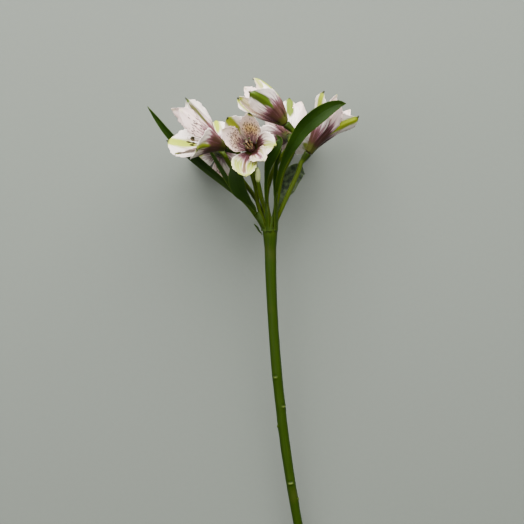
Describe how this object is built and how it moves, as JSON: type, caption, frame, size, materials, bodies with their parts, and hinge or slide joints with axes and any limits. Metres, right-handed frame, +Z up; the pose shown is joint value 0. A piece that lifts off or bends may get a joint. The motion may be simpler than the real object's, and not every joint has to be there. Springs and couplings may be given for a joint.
{
  "type": "alstroemeria",
  "caption": "Cut alstroemeria lying down: a long bare stem with an umbel of open and half-open speckled blooms, a slender bud and a whorl of twisted leaves.",
  "frame": {"origin": "the middle of the part's bounding box, on the surface that the cut stem lies on", "axes": "+Y along the stem from its cut end to the blooms, +Z up from the surface, +X to the right seen from above"},
  "size_m": [0.1417, 0.3753, 0.1017],
  "materials": {
    "stem_skin": "smooth fresh plant skin, satin",
    "leaf_blade": "fresh leaf, satin, fine parallel veins",
    "tepal": "soft petal, matt, pink and white with maroon dashes",
    "stamen": "matt",
    "bud_skin": "smooth fresh plant skin, satin"
  },
  "bodies": {
    "root": {"stem": "stem_skin", "bloom_left": "tepal", "bloom_front": "tepal", "bloom_top": "tepal", "bloom_right": "tepal", "bloom_back_left": "tepal", "bloom_back_right": "tepal", "stamens_left": "stamen", "stamens_front": "stamen", "stamens_top": "stamen", "stamens_right": "stamen", "stamens_back_left": "stamen", "stamens_back_right": "stamen", "pedicel_left": "stem_skin", "pedicel_front": "stem_skin", "pedicel_top": "stem_skin", "pedicel_right": "stem_skin", "pedicel_back_left": "stem_skin", "pedicel_back_right": "stem_skin", "pedicel_bud": "stem_skin", "bud": "bud_skin", "leaf_long_left": "leaf_blade", "leaf_broad_left": "leaf_blade", "leaf_narrow_left": "leaf_blade", "leaf_front_right": "leaf_blade", "leaf_back_right": "leaf_blade", "leaf_centre": "leaf_blade", "leaf_bract": "leaf_blade", "collar_bract": "leaf_blade"}
  },
  "joints": []
}
